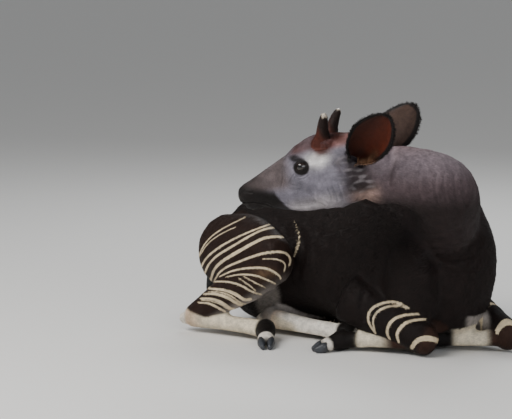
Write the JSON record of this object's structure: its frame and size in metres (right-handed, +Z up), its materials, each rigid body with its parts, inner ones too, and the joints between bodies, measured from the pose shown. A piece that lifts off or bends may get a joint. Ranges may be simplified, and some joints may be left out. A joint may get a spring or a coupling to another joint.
{
  "type": "okapi",
  "caption": "okapi bull lying on its chest with its legs folded and its head turned back along its right flank",
  "frame": {"origin": "on the floor, under the middle of the animal's bounding box", "axes": "+X is the way the trunk faces, +Y is the animal's own left, +Z is up"},
  "size_m": [1.4108, 0.902, 0.9008],
  "materials": {
    "coat_brown": "short velvety fur, near-black chocolate brown",
    "coat_neck": "short fur, grey-brown with a rust crest",
    "coat_face": "very short fur, pale bluish grey",
    "coat_white": "short fur, cream white",
    "coat_black": "short fur, black",
    "coat_ear": "thin fur, rust red inside and black at the rim",
    "ossicone_tip": "hair-covered skin with a polished bare tip",
    "hoof_horn": "blue-grey hoof horn, satin",
    "eye_dark": "wet black eye"
  },
  "bodies": {
    "root": {"ear_left": "coat_ear", "ear_right": "coat_ear", "eye_left": "eye_dark", "eye_right": "eye_dark", "fore_cannon_left": "coat_white", "fore_cannon_right": "coat_white", "fore_fetlock_left": "coat_black", "fore_fetlock_right": "coat_black", "fore_hoof_left_a": "hoof_horn", "fore_hoof_left_b": "hoof_horn", "fore_hoof_right_a": "hoof_horn", "fore_hoof_right_b": "hoof_horn", "fore_pastern_left": "coat_white", "fore_pastern_right": "coat_white", "forearm_left": "coat_brown", "forearm_right": "coat_brown", "head": "coat_face", "hind_cannon_left": "coat_white", "hind_cannon_right": "coat_white", "hind_fetlock_left": "coat_black", "hind_fetlock_right": "coat_black", "hind_hoof_left_a": "hoof_horn", "hind_hoof_left_b": "hoof_horn", "hind_hoof_right_a": "hoof_horn", "hind_hoof_right_b": "hoof_horn", "hind_pastern_left": "coat_white", "hind_pastern_right": "coat_white", "neck_lower": "coat_neck", "neck_upper": "coat_neck", "ossicone_left": "ossicone_tip", "ossicone_right": "ossicone_tip", "tail": "coat_brown", "tail_tuft": "coat_black", "thigh_left": "coat_brown", "thigh_right": "coat_brown", "torso": "coat_brown"}
  },
  "joints": []
}
